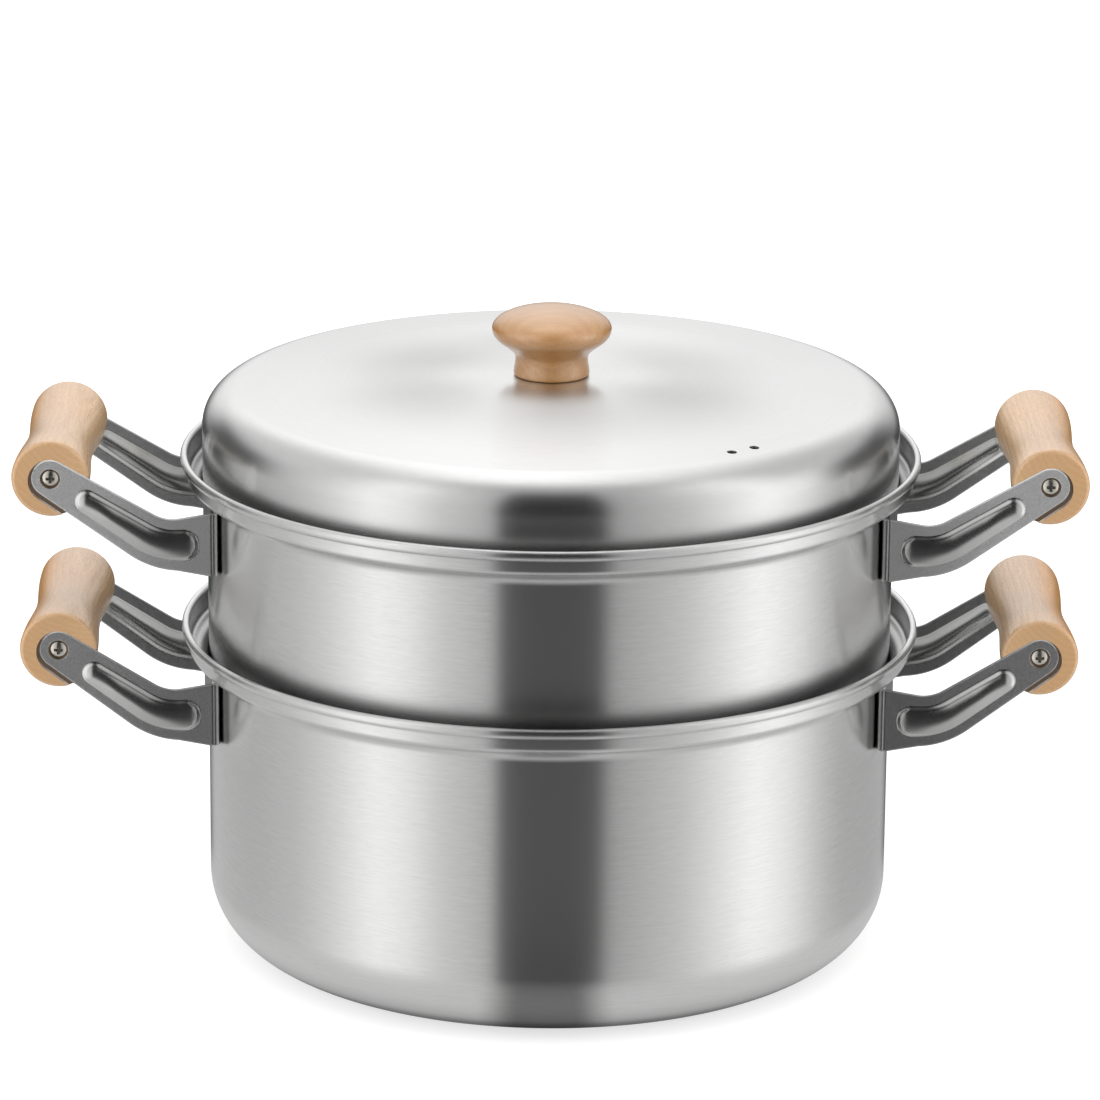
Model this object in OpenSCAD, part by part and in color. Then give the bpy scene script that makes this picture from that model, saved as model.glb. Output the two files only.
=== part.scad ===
// Two-tier steamer pot: a stock pot, a perforated steamer basket that seats in its rim,
// a domed lid with a turned knob, and four wooden grips on steel brackets.
// The origin is the middle of the base, the grips lie along X, and sizes are in millimetres.

/* [Body shells] */
// Outer radius of the straight wall, the same on the pot and on the basket
body_r = 130.8; // [110:0.2:160]
// Thickness of the stainless sheet of the pot, the basket and the lid
sheet = 0.8; // [0.6:0.1:1.2]
// Outer radius of the rounded corner between wall and base
base_corner = 28; // [18:1:32]
// Height of the pot, from its base to the middle of its rolled rim
pot_h = 126; // [105:1:170]
// Height of the basket, from its base to the middle of its rolled rim
basket_h = 99.5; // [92:0.5:150]

/* [Rim] */
// Radial step from the inner wall out to the inner face of the collar
collar_step = 8; // [7:0.2:11]
// Depth from the middle of the rolled rim down to the crest of the ledge
ledge_drop = 7; // [6:0.2:12]
// Radius of the rounded ledge that the piece above it sits on
ledge_r = 6.2; // [5:0.1:6.4]
// Radius of the rolled edge
curl_r = 1.55; // [1.3:0.05:2]

/* [Basket base] */
// Diameter of each steam hole
steam_hole_d = 5; // [3.6:0.1:7]
// Distance from one ring of steam holes to the next
steam_ring_pitch = 16.5; // [12:0.5:20]
// Number of rings of steam holes round the middle hole
steam_rings = 5; // [2:1:5]

/* [Lid] */
// How far the lid's skirt stands outside the straight wall
lid_over = 1.8; // [0.8:0.1:3.2]
// Height of the straight skirt
lid_skirt_h = 19.2; // [12:0.2:30]
// Radius of the rounded shoulder
lid_shoulder = 14.5; // [8:0.5:24]
// Radius of the gentle dome
lid_dome_r = 1500; // [700:10:2600]
// Diameter of each of the two vent holes
vent_d = 3.7; // [2:0.1:6]
// Distance from the lid's skirt in to the vent holes
vent_inset = 18.2; // [16:0.2:60]

/* [Knob] */
// Diameter of the head
knob_d = 45.4; // [36:0.2:56]
// Diameter of the waist
knob_waist_d = 27.6; // [24:0.2:32]
// Diameter of the foot
knob_foot_d = 28.8; // [26:0.2:34]
// Height from foot to crown
knob_h = 26.3; // [22:0.1:36]

/* [Handles] */
// Distance from the pot's wall to the axis of each of its grips
pot_grip_out = 54.2; // [48:0.2:70]
// Distance from the basket's wall to the axis of each of its grips
basket_grip_out = 56.2; // [48:0.2:70]
// Length of a wooden grip
grip_len = 90; // [76:1:100]
// Diameter of a grip at its ends
grip_end_d = 29.2; // [27:0.2:34]
// Diameter of a grip at its waist
grip_waist_d = 25.2; // [22:0.2:27]
// Thickness of the bracket's steel
plate = 1.6; // [1.2:0.1:2]
// Height of the bracket where it is welded to the wall
root_h = 24.4; // [20:0.2:27]
// Radius of the arm's round end
arm_end_r = 7.1; // [6:0.1:8]
// Height of the pressed bead above the arm
bead_rise = 1.9; // [1:0.1:2.6]

/* [Screws] */
// Diameter of a grip screw's head
screw_head_d = 6.1; // [5.4:0.1:6.6]
// Diameter of a grip screw's shank
screw_d = 3; // [2.5:0.1:4.2]
// Length of a grip screw's shank
screw_len = 14; // [8:0.5:24]

/* [Hidden] */

// Clearances: at seats between pieces that lift apart, between fixed pieces, and past a cut
seat_gap = 0.3;
fit_gap = 0.1;
overrun = 1;

// Shell: inner radii, and where the ledge and the collar lie below the rim
wall_in = body_r - sheet;
collar_in = wall_in + collar_step;
collar_fillet = collar_step - ledge_r;
ledge_centre_r = wall_in + ledge_r;
ledge_foot_drop = ledge_drop + ledge_r;

// Distances from the middle to the axes of the grips
pot_reach = body_r + pot_grip_out;
basket_reach = body_r + basket_grip_out;

// The basket's rounded base rests on the pot's rounded ledge, a seat gap apart
nest_reach = ledge_centre_r - (body_r - base_corner);
nest_rise = sqrt(pow(base_corner + ledge_r + seat_gap, 2) - pow(nest_reach, 2));
basket_z = pot_h - ledge_foot_drop + nest_rise - base_corner;
basket_rim_z = basket_z + basket_h;

// The lid's edge rests on the basket's rounded ledge, a seat gap apart
lid_r = body_r + lid_over;
lid_edge_rise = sqrt(pow(ledge_r + seat_gap, 2) - pow(ledge_centre_r - lid_r, 2));
lid_z = basket_rim_z - ledge_foot_drop + lid_edge_rise;

// Lid: the dome meets the shoulder where their arcs share a tangent
shoulder_z = lid_z + lid_skirt_h;
dome_span = lid_dome_r - lid_shoulder;
dome_tilt = asin((lid_r - lid_shoulder) / dome_span);
dome_centre_z = shoulder_z - dome_span * cos(dome_tilt);
crown_z = dome_centre_z + lid_dome_r;
vent_at_r = lid_r - vent_inset;
vent_angle = -52.2;
vent_spread = 5.3;

// Knob: heights up the turned profile, as shares of its height
knob_z = crown_z + fit_gap;
knob_foot_share = 0.06;
knob_waist_share = 0.24;
knob_neck_share = 0.36;
knob_cove_share = 0.49;
knob_widest_share = 0.68;
knob_cove_width_share = 0.88;
knob_bore_d = 7.4;
knob_bore_deep = 15;
knob_insert_wall = 1.5;
knob_screw_d = 4;
knob_screw_head_d = 8;
knob_screw_head_h = 2.4;
knob_washer_d = 12;
knob_washer_h = 1;

// Bracket: a strip that follows the wall and bends out into two arms
bend_in = 1.4;
web_in = body_r + fit_gap;
web_out = web_in + plate;
arm_recess = 0.5;
arm_out_y = grip_len / 2 - arm_recess;
arm_in_y = arm_out_y - plate;
bend_y = arm_in_y - bend_in;
bend_r = web_out + bend_in;
bend_x = sqrt(pow(bend_r, 2) - pow(bend_y, 2));
bend_turn = asin(bend_y / bend_r);
web_end_x = web_in * cos(bend_turn) - overrun;
web_steps = 12;
bend_steps = 6;

// Arm: a level run, one bend up and a straight run to the grip, seen from the side
knee_out = 9.2;
knee_x = body_r + knee_out;
knee_r = 24;
knee_half_h = 10;
knee_end_half_h = 9.1;
arm_steps = 12;
root_mid_drop = ledge_foot_drop + root_h / 2;
bead_root_out = 6.8;
bead_root_half_h = 6.2;
bead_tip_half_h = 4.6;
bead_tip_gap = 16.2;
bead_slope = 1.3;

// Grip: the recess that takes the arm, the bore and the rounded ends
slot_gap = 1.2;
slot_drop = 0.8;
slot_deep = arm_recess + plate + seat_gap;
grip_edge_r = 1.6;
sleeve_d = 7;
sleeve_bore_d = screw_d + 2 * fit_gap;
dimple_ring = 0.75;
head_sink = dimple_ring - fit_gap;
head_cone_h = (screw_head_d - screw_d) / 2;
sleeve_end_y = min(grip_len / 2 - slot_deep, arm_out_y - head_sink - head_cone_h) - fit_gap;
sleeve_len = 2 * sleeve_end_y;
dimple_d = screw_head_d + 2 * dimple_ring;
dimple_foot_d = max(dimple_d - 2 * plate, screw_d + 2 * fit_gap);
head_dome_h = 0.9;
cross_w = 1.1;
cross_len = 3.4;
cross_deep = 1.3;

// Colours
steel = [0.78, 0.78, 0.78];
bracket_steel = [0.45, 0.45, 0.46];
beech = [0.87, 0.70, 0.51];
zinc = [0.70, 0.69, 0.66];

// Points along an arc from angle a to angle b
function arc(x, y, r, a, b, steps) =
    [for (i = [0:steps]) let (t = a + (b - a) * i / steps) [x + r * cos(t), y + r * sin(t)]];

// Points of a list in the opposite order
function reversed(list) = [for (i = [len(list) - 1:-1:0]) list[i]];

// Half section of a shell: flat base, rounded corner, wall, ledge, collar and rolled rim
function shell_outline(h) =
    let (
        foot = h - ledge_foot_drop,
        crest = h - ledge_drop,
        curl_x = collar_in + curl_r,
        curl_end = -acos((sheet - curl_r) / curl_r)
    )
    concat(
        [[0, 0]],
        arc(body_r - base_corner, base_corner, base_corner, -90, 0, 10),
        arc(ledge_centre_r, foot, ledge_r - sheet, 180, 90, 6),
        arc(ledge_centre_r, crest + collar_fillet, collar_fillet + sheet, -90, 0, 4),
        reversed(arc(curl_x, h, curl_r, 180, curl_end, 14)),
        arc(ledge_centre_r, crest + collar_fillet, collar_fillet, 0, -90, 4),
        arc(ledge_centre_r, foot, ledge_r, 90, 180, 6),
        arc(body_r - base_corner, base_corner, base_corner - sheet, 0, -90, 10),
        [[0, sheet]]
    );

module shell(h) {
    rotate_extrude($fn = 180) polygon(shell_outline(h));
}

module steam_holes() {
    for (ring = [0:steam_rings]) {
        count = ring == 0 ? 1 : 6 * ring;
        for (i = [0:count - 1])
            rotate(360 * i / count)
                translate([ring * steam_ring_pitch, 0, -overrun])
                    cylinder(h = sheet + 2 * overrun, d = steam_hole_d, $fn = 24);
    }
}

// Half section of the lid
function lid_outline() =
    let (lean = 90 - dome_tilt)
    concat(
        arc(0, dome_centre_z, lid_dome_r, 90, lean, 10),
        arc(lid_r - lid_shoulder, shoulder_z, lid_shoulder, lean, 0, 8),
        [[lid_r, lid_z], [lid_r - sheet, lid_z]],
        arc(lid_r - lid_shoulder, shoulder_z, lid_shoulder - sheet, 0, lean, 8),
        arc(0, dome_centre_z, lid_dome_r - sheet, lean, 90, 10)
    );

// Half section of the knob: foot, waist, cove and an elliptical crown
function knob_outline() =
    let (widest = knob_h * knob_widest_share)
    concat(
        [
            [0, 0],
            [knob_foot_d / 2, 0],
            [knob_foot_d / 2, knob_h * knob_foot_share],
            [knob_waist_d / 2, knob_h * knob_waist_share],
            [knob_waist_d / 2 + (knob_d - knob_waist_d) / 12, knob_h * knob_neck_share],
            [knob_d / 2 * knob_cove_width_share, knob_h * knob_cove_share]
        ],
        [
            for (i = [-2:9])
            let (t = 10 * i)
            [knob_d / 2 * cos(t), widest + (knob_h - widest) * sin(t)]
        ],
        [[0, knob_h]]
    );

// Middle line of an arm seen from the side, as points of x, z, slope and half height.
// The straight run is the tangent from the end of the arm to the bend.
function arm_line(reach) =
    let (
        dx = reach - knee_x,
        dz = root_mid_drop - knee_r,
        run = sqrt(dx * dx + dz * dz - knee_r * knee_r),
        slope = atan2(dz, dx) + atan2(knee_r, run)
    )
    concat(
        [
            [web_end_x, -root_mid_drop, 0, root_h / 2],
            [bend_x, -root_mid_drop, 0, root_h / 2]
        ],
        [
            for (i = [0:arm_steps])
            let (t = slope * i / arm_steps)
            [
                knee_x + knee_r * sin(t),
                knee_r * (1 - cos(t)) - root_mid_drop,
                t,
                knee_half_h + (knee_end_half_h - knee_half_h) * i / arm_steps
            ]
        ],
        [[reach, 0, slope, arm_end_r]]
    );

// Outline round a middle line, each side moved out by the half height and an allowance
function band(line, extra) =
    let (last = line[len(line) - 1])
    concat(
        [for (p = line) [p[0] + (p[3] + extra) * sin(p[2]), p[1] - (p[3] + extra) * cos(p[2])]],
        arc(last[0], last[1], last[3] + extra, last[2] - 80, last[2] + 80, 10),
        reversed(
            [for (p = line) [p[0] - (p[3] + extra) * sin(p[2]), p[1] + (p[3] + extra) * cos(p[2])]]
        )
    );

// Middle line of the pressed bead, which stops short of the wall and of the grip's screw
function bead_line(reach) =
    let (
        arm = arm_line(reach),
        first = body_r + bead_root_out,
        tip = arm[len(arm) - 1],
        inner = [for (p = arm) if (p[0] > first && p[0] < tip[0]) p],
        count = len(inner)
    )
    concat(
        [[first, -root_mid_drop, 0, bead_root_half_h]],
        [
            for (i = [0:count - 1])
            [
                inner[i][0],
                inner[i][1],
                inner[i][2],
                bead_root_half_h + (bead_tip_half_h - bead_root_half_h) * (i + 1) / count
            ]
        ],
        [[
            tip[0] - bead_tip_gap * cos(tip[2]),
            tip[1] - bead_tip_gap * sin(tip[2]),
            tip[2],
            bead_tip_half_h
        ]]
    );

function bead_outline(reach, extra) =
    let (line = bead_line(reach), first = line[0], half = first[3] + extra)
    concat(arc(first[0], first[1], half, 260, 100, 12), reversed(band(line, extra)));

// Plan of the bracket in one outline: the strip along the wall, two bends and two arms
function bracket_plan(length) =
    let (
        step = bend_turn / web_steps,
        half = concat(
            arc(0, 0, web_in, step / 2, bend_turn - step / 2, web_steps - 1),
            arc(bend_x, bend_y, bend_in + plate, 180 + bend_turn, 90, bend_steps),
            [[length, arm_out_y], [length, arm_in_y]],
            arc(bend_x, bend_y, bend_in, 90, 180 + bend_turn, bend_steps),
            arc(0, 0, web_out, bend_turn - step / 2, step / 2, web_steps - 1)
        )
    )
    concat(half, reversed([for (p = half) [p[0], -p[1]]]));

// An outline drawn in x and z, made a solid from y to y plus depth
module upright(y, depth) {
    translate([0, y + depth, 0]) rotate([90, 0, 0]) linear_extrude(depth) children();
}

module bead(reach, side) {
    upright(side > 0 ? arm_out_y - fit_gap : -arm_out_y - bead_rise / 2, bead_rise / 2 + fit_gap)
        polygon(bead_outline(reach, 0));
    upright(side > 0 ? arm_out_y : -arm_out_y - bead_rise, bead_rise)
        polygon(bead_outline(reach, -bead_slope));
}

module bead_pocket(reach, side) {
    upright(
        side > 0 ? arm_in_y - overrun : -arm_in_y - bead_rise / 2,
        bead_rise / 2 + overrun
    )
        polygon(bead_outline(reach, -bead_slope));
    upright(side > 0 ? arm_in_y - overrun : -arm_in_y - bead_rise, bead_rise + overrun)
        polygon(bead_outline(reach, -2 * bead_slope));
}

// Countersunk dimple for a grip screw, its mouth on the outer face of the arm
module dimple(reach, side) {
    translate([reach, side * arm_out_y, 0]) rotate([side * 90, 0, 0]) {
        cylinder(h = plate, d1 = dimple_d, d2 = dimple_foot_d, $fn = 48);
        translate([0, 0, -overrun]) cylinder(h = overrun, d = dimple_d, $fn = 48);
        cylinder(h = plate + overrun, d = dimple_foot_d, $fn = 48);
    }
}

module bracket(reach) {
    difference() {
        union() {
            intersection() {
                translate([0, 0, -root_mid_drop - root_h])
                    linear_extrude(2 * root_h + root_mid_drop)
                        polygon(bracket_plan(reach + 2 * arm_end_r));
                upright(-grip_len, 2 * grip_len) polygon(band(arm_line(reach), 0));
            }
            for (side = [-1, 1]) bead(reach, side);
        }
        for (side = [-1, 1]) {
            bead_pocket(reach, side);
            dimple(reach, side);
        }
    }
}

// Half section of a grip: rounded ends and a shallow waist
function grip_outline() =
    let (
        half = grip_len / 2,
        end_r = grip_end_d / 2,
        waist_r = grip_waist_d / 2,
        widest = half - grip_edge_r
    )
    concat(
        [[0, -half]],
        arc(end_r - grip_edge_r, -widest, grip_edge_r, -90, 0, 4),
        [
            for (i = [-5:5])
            let (y = widest * i / 6)
            [waist_r + (end_r - waist_r) * pow(sin(90 * abs(i) / 6), 2), y]
        ],
        arc(end_r - grip_edge_r, widest, grip_edge_r, 0, 90, 4),
        [[0, half]]
    );

module grip(reach) {
    difference() {
        translate([reach, 0, 0]) rotate([90, 0, 0])
            rotate_extrude($fn = 96) polygon(grip_outline());
        for (side = [-1, 1])
            upright(
                side > 0 ? grip_len / 2 - slot_deep : -grip_len / 2 - overrun,
                slot_deep + overrun
            )
                translate([0, -slot_drop]) polygon(band(arm_line(reach), slot_gap));
        translate([reach, grip_len / 2, 0]) rotate([90, 0, 0])
            cylinder(h = grip_len, d = sleeve_d + 2 * fit_gap, $fn = 48);
    }
}

// Steel sleeve with a thread at each end, which takes the two grip screws
module sleeve(reach) {
    translate([reach, sleeve_len / 2, 0]) rotate([90, 0, 0]) difference() {
        cylinder(h = sleeve_len, d = sleeve_d, $fn = 48);
        translate([0, 0, -overrun])
            cylinder(h = sleeve_len + 2 * overrun, d = sleeve_bore_d, $fn = 48);
    }
}

// Raised countersunk screw with a cross recess, its head seated in the arm's dimple
module grip_screw() {
    dome_r = (pow(screw_head_d / 2, 2) + pow(head_dome_h, 2)) / (2 * head_dome_h);
    translate([0, 0, -head_sink]) difference() {
        union() {
            translate([0, 0, -head_cone_h])
                cylinder(h = head_cone_h, d1 = screw_d, d2 = screw_head_d, $fn = 48);
            translate([0, 0, -head_cone_h - screw_len])
                cylinder(h = screw_len + head_cone_h / 2, d = screw_d, $fn = 48);
            intersection() {
                translate([0, 0, head_dome_h - dome_r]) sphere(r = dome_r, $fn = 64);
                cylinder(h = 2 * head_dome_h, d = screw_head_d, $fn = 48);
            }
        }
        for (turn = [0, 90])
            rotate(turn)
                translate([-cross_len / 2, -cross_w / 2, head_dome_h - cross_deep])
                    cube([cross_len, cross_w, cross_deep + overrun]);
    }
}

module screw_pair(reach) {
    for (side = [-1, 1])
        translate([reach, side * arm_out_y, 0]) rotate([-side * 90, 0, 0]) grip_screw();
}

// Places one handle's piece at a rim's height, on the right as drawn or turned to the left
module handle(rim_z, turn) {
    translate([0, 0, rim_z]) rotate(turn) children();
}

module pot_body() {
    color(steel) shell(pot_h);
}

module pot_bracket_left() {
    color(bracket_steel) handle(pot_h, 180) bracket(pot_reach);
}

module pot_bracket_right() {
    color(bracket_steel) handle(pot_h, 0) bracket(pot_reach);
}

module pot_grip_left() {
    color(beech) handle(pot_h, 180) grip(pot_reach);
}

module pot_grip_right() {
    color(beech) handle(pot_h, 0) grip(pot_reach);
}

module pot_sleeve_left() {
    color(zinc) handle(pot_h, 180) sleeve(pot_reach);
}

module pot_sleeve_right() {
    color(zinc) handle(pot_h, 0) sleeve(pot_reach);
}

module pot_screws_left() {
    color(zinc) handle(pot_h, 180) screw_pair(pot_reach);
}

module pot_screws_right() {
    color(zinc) handle(pot_h, 0) screw_pair(pot_reach);
}

module basket_body() {
    color(steel) translate([0, 0, basket_z]) difference() {
        shell(basket_h);
        steam_holes();
    }
}

module basket_bracket_left() {
    color(bracket_steel) handle(basket_rim_z, 180) bracket(basket_reach);
}

module basket_bracket_right() {
    color(bracket_steel) handle(basket_rim_z, 0) bracket(basket_reach);
}

module basket_grip_left() {
    color(beech) handle(basket_rim_z, 180) grip(basket_reach);
}

module basket_grip_right() {
    color(beech) handle(basket_rim_z, 0) grip(basket_reach);
}

module basket_sleeve_left() {
    color(zinc) handle(basket_rim_z, 180) sleeve(basket_reach);
}

module basket_sleeve_right() {
    color(zinc) handle(basket_rim_z, 0) sleeve(basket_reach);
}

module basket_screws_left() {
    color(zinc) handle(basket_rim_z, 180) screw_pair(basket_reach);
}

module basket_screws_right() {
    color(zinc) handle(basket_rim_z, 0) screw_pair(basket_reach);
}

module lid_shell() {
    color(steel) difference() {
        rotate_extrude($fn = 180) polygon(lid_outline());
        translate([0, 0, crown_z - sheet - overrun])
            cylinder(h = sheet + 2 * overrun, d = knob_screw_d + 2 * seat_gap, $fn = 48);
        for (turn = [-1, 1])
            rotate(vent_angle + turn * vent_spread / 2)
                translate([vent_at_r, 0, shoulder_z])
                    cylinder(h = crown_z - shoulder_z + overrun, d = vent_d, $fn = 32);
    }
}

module lid_knob() {
    color(beech) translate([0, 0, knob_z]) difference() {
        rotate_extrude($fn = 120) polygon(knob_outline());
        translate([0, 0, -overrun])
            cylinder(h = knob_bore_deep + overrun, d = knob_bore_d, $fn = 48);
    }
}

// Threaded insert pressed into the knob's bore
module knob_insert() {
    color(zinc) translate([0, 0, knob_z]) difference() {
        cylinder(h = knob_bore_deep - fit_gap, d = knob_bore_d - 2 * fit_gap, $fn = 48);
        translate([0, 0, -overrun])
            cylinder(
                h = knob_bore_deep - knob_insert_wall + overrun,
                d = knob_screw_d + 2 * fit_gap,
                $fn = 48
            );
    }
}

// Screw from under the lid, through the washer and the lid into the insert
module knob_screw() {
    head_top = crown_z - sheet - knob_washer_h - 2 * fit_gap;
    shank_top = knob_z + knob_bore_deep - 2 * knob_insert_wall;
    color(zinc) difference() {
        union() {
            translate([0, 0, head_top - knob_screw_head_h])
                cylinder(h = knob_screw_head_h, d = knob_screw_head_d, $fn = 48);
            translate([0, 0, head_top - fit_gap])
                cylinder(h = shank_top - head_top + fit_gap, d = knob_screw_d, $fn = 48);
        }
        for (turn = [0, 90])
            rotate(turn)
                translate([-cross_len / 2, -cross_w / 2, head_top - knob_screw_head_h - overrun])
                    cube([cross_len, cross_w, cross_deep + overrun]);
    }
}

module knob_washer() {
    top = crown_z - sheet - fit_gap;
    color(zinc) translate([0, 0, top - knob_washer_h]) difference() {
        cylinder(h = knob_washer_h, d = knob_washer_d, $fn = 48);
        translate([0, 0, -overrun])
            cylinder(h = knob_washer_h + 2 * overrun, d = knob_screw_d + 2 * seat_gap, $fn = 48);
    }
}

pot_body();
pot_bracket_left();
pot_bracket_right();
pot_grip_left();
pot_grip_right();
pot_sleeve_left();
pot_sleeve_right();
pot_screws_left();
pot_screws_right();
basket_body();
basket_bracket_left();
basket_bracket_right();
basket_grip_left();
basket_grip_right();
basket_sleeve_left();
basket_sleeve_right();
basket_screws_left();
basket_screws_right();
lid_shell();
lid_knob();
knob_insert();
knob_screw();
knob_washer();
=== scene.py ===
import math

import bmesh
import bpy
from mathutils import Matrix, Vector


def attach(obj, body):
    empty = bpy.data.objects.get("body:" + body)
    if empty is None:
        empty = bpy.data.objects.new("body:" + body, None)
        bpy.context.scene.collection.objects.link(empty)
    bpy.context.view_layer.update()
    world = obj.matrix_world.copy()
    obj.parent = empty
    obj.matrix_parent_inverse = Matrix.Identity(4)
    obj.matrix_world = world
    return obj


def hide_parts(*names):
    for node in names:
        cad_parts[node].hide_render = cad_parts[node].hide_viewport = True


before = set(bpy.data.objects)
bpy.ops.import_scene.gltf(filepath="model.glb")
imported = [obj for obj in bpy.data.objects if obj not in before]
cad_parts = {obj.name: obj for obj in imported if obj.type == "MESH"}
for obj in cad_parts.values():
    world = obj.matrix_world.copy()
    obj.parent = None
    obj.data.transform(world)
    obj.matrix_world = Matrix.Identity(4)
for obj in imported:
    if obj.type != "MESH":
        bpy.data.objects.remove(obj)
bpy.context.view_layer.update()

scene = bpy.context.scene
MM = 0.001

# Sizes in millimetres, as in the frame. The vents' turns are in degrees, the bend's in radians
BODY_R, SHEET, CORNER = 130.8, 0.8, 28.0
COLLAR_STEP, LEDGE_DROP, LEDGE_R, CURL_R = 8.0, 8.0, 6.2, 1.5
CURL_TALL = 1.3
POT_H, BASKET_H, BASKET_Z = 126.0, 99.5, 93.442
RIM = {"pot": POT_H, "basket": BASKET_Z + BASKET_H}
REACH = {"pot": 185.0, "basket": 187.0}
HOLE_R, HOLE_RINGS, HOLE_STEP = 2.5, 5, 16.5
LID_R, LID_Z, SHOULDER_R, DOME_R, CROWN_Z = 132.6, 185.154, 14.5, 1500.0, 223.556
SHOULDER_Z = LID_Z + 19.2
VENT_R, VENT_REACH, VENT_SIDE, VENT_APART = 1.85, 114.4, -52.2, 5.3
KNOB_Z = CROWN_Z + 0.1
KNOB_R, KNOB_WIDEST_Z, KNOB_CROWN = 22.7, 17.9, 8.4
KNOB_HOLE_R, KNOB_BORE_R, KNOB_BORE_DEPTH = 2.3, 3.7, 15
PLATE, BEND_IN, ROOT_H = 1.6, 1.4, 24.4
GRIP_LEN, GRIP_END_R, GRIP_WAIST_R, GRIP_EDGE = 90.0, 14.6, 12.6, 1.6
ARM_OUT_Y = GRIP_LEN / 2 - 0.5
ARM_IN_Y = ARM_OUT_Y - PLATE
WEB_IN = BODY_R + 0.1
WEB_OUT = WEB_IN + PLATE
BEND_Y = ARM_IN_Y - BEND_IN
BEND_X = math.sqrt((WEB_OUT + BEND_IN) ** 2 - BEND_Y ** 2)
BEND_TURN = math.atan2(BEND_Y, BEND_X)
ROOT_DROP = 25.4
KNEE_X, KNEE_R, KNEE_H, KNEE_END_H, TIP_R = BODY_R + 9.2, 24.0, 10.0, 9.1, 7.1
BEAD_X, BEAD_ROOT_H, BEAD_TIP_H, BEAD_GAP = BODY_R + 6.8, 6.2, 4.6, 16.2
BEAD_FLANK, BEAD_RISE, BEAD_INSET, LEAST_RISE = 1.9, 0.9, 0.35, 0.02
BEAD_CROWN, CROWN_RUN, CROWN_END = 1.0, 11.0, 0.55
EDGE, DIMPLE_R = 0.3, 3.8
SLOT_DEPTH, SLOT_GAP, SLOT_SINK, SLEEVE_BORE_R = 2.4, 1.2, 0.8, 3.6
SPARE, SLIGHT = 1, 0.05

# Places in the material lists of a bracket and of a grip
PLAIN, HOLLOW, PRESSED, INNER = 0, 1, 2, 3
RECESS = 1


# Camera

def make_camera():
    """The photo's camera, fitted to the rims, the walls and the base that it shows."""
    sensor, focal_px, frame_px = 36.0, 5591, 1100
    far, middle_z = 2.149, 0.130
    lift, pitch, roll = math.radians(17.05), math.radians(16.44), math.radians(0.49)
    data = bpy.data.cameras.new("camera")
    data.sensor_width = sensor
    data.lens = focal_px / frame_px * sensor
    data.clip_start, data.clip_end = 0.05, 60
    camera = bpy.data.objects.new("camera", data)
    scene.collection.objects.link(camera)
    camera.location = (0, -far * math.cos(lift), middle_z + far * math.sin(lift))
    turn = Matrix.Rotation(math.pi / 2 - pitch, 3, "X") @ Matrix.Rotation(roll, 3, "Z")
    camera.rotation_euler = turn.to_euler()
    scene.camera = camera


# Node helper

class Net:
    """Builds a node tree with short calls. A value is a number, a colour or a socket."""

    def __init__(self, tree):
        self.tree = tree
        tree.nodes.clear()

    def add(self, kind, **settings):
        node = self.tree.nodes.new("ShaderNode" + kind)
        for name, value in settings.items():
            setattr(node, name, value)
        return node

    def plug(self, socket, value):
        if isinstance(value, bpy.types.NodeSocket):
            self.tree.links.new(value, socket)
        else:
            socket.default_value = value

    def place(self):
        return self.add("TexCoord").outputs["Object"]

    def split(self, vector):
        node = self.add("SeparateXYZ")
        self.plug(node.inputs[0], vector)
        return node.outputs

    def length(self, vector):
        node = self.add("VectorMath", operation="LENGTH")
        self.plug(node.inputs[0], vector)
        return node.outputs["Value"]

    def scaled(self, vector, factors):
        node = self.add("VectorMath", operation="MULTIPLY")
        self.plug(node.inputs[0], vector)
        node.inputs[1].default_value = factors
        return node.outputs[0]

    def math(self, operation, *values):
        node = self.add("Math", operation=operation)
        for socket, value in zip(node.inputs, values):
            self.plug(socket, value)
        return node.outputs[0]

    def times(self, a, b):
        return self.math("MULTIPLY", a, b)

    def plus(self, a, b):
        return self.math("ADD", a, b)

    def absolute(self, value):
        return self.math("ABSOLUTE", value)

    def step(self, value, low, high, first=0.0, last=1.0):
        """Goes smoothly from first to last while the value goes from low to high."""
        node = self.add("MapRange", interpolation_type="SMOOTHSTEP")
        settings = {"Value": value, "From Min": low, "From Max": high, "To Min": first, "To Max": last}
        for name, setting in settings.items():
            self.plug(node.inputs[name], setting)
        return node.outputs[0]

    def over(self, base, share, top):
        """Lays a share of the top level over the base level."""
        kept = self.times(base, self.math("SUBTRACT", 1.0, share))
        return self.plus(kept, self.times(share, top))

    def noise(self, vector, scale, detail, rough):
        node = self.add("TexNoise")
        self.plug(node.inputs["Vector"], vector)
        for name, value in (("Scale", scale), ("Detail", detail), ("Roughness", rough)):
            node.inputs[name].default_value = value
        return node.outputs["Fac"]

    def ramp(self, value, stops):
        node = self.add("ValToRGB")
        parts = node.color_ramp.elements
        while len(parts) < len(stops):
            parts.new(0.5)
        for part, (place, colour) in zip(parts, stops):
            part.position = place
            part.color = (*colour, 1) if isinstance(colour, tuple) else (colour, colour, colour, 1)
        self.plug(node.inputs["Fac"], value)
        return node.outputs["Color"]

    def mix(self, share, a, b):
        node = self.add("Mix", data_type="RGBA")
        self.plug(node.inputs["Factor"], share)
        self.plug(node.inputs["A"], (*a, 1) if isinstance(a, tuple) else a)
        self.plug(node.inputs["B"], (*b, 1) if isinstance(b, tuple) else b)
        return node.outputs["Result"]

    def bump(self, height, distance):
        node = self.add("Bump")
        node.inputs["Strength"].default_value = 1.0
        node.inputs["Distance"].default_value = distance
        self.plug(node.inputs["Height"], height)
        return node.outputs["Normal"]


def new_material(name):
    material = bpy.data.materials.new(name)
    material.use_nodes = True
    net = Net(material.node_tree)
    shader = net.add("BsdfPrincipled")
    out = net.add("OutputMaterial")
    net.plug(out.inputs["Surface"], shader.outputs[0])
    return material, net, shader


# Materials

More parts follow.
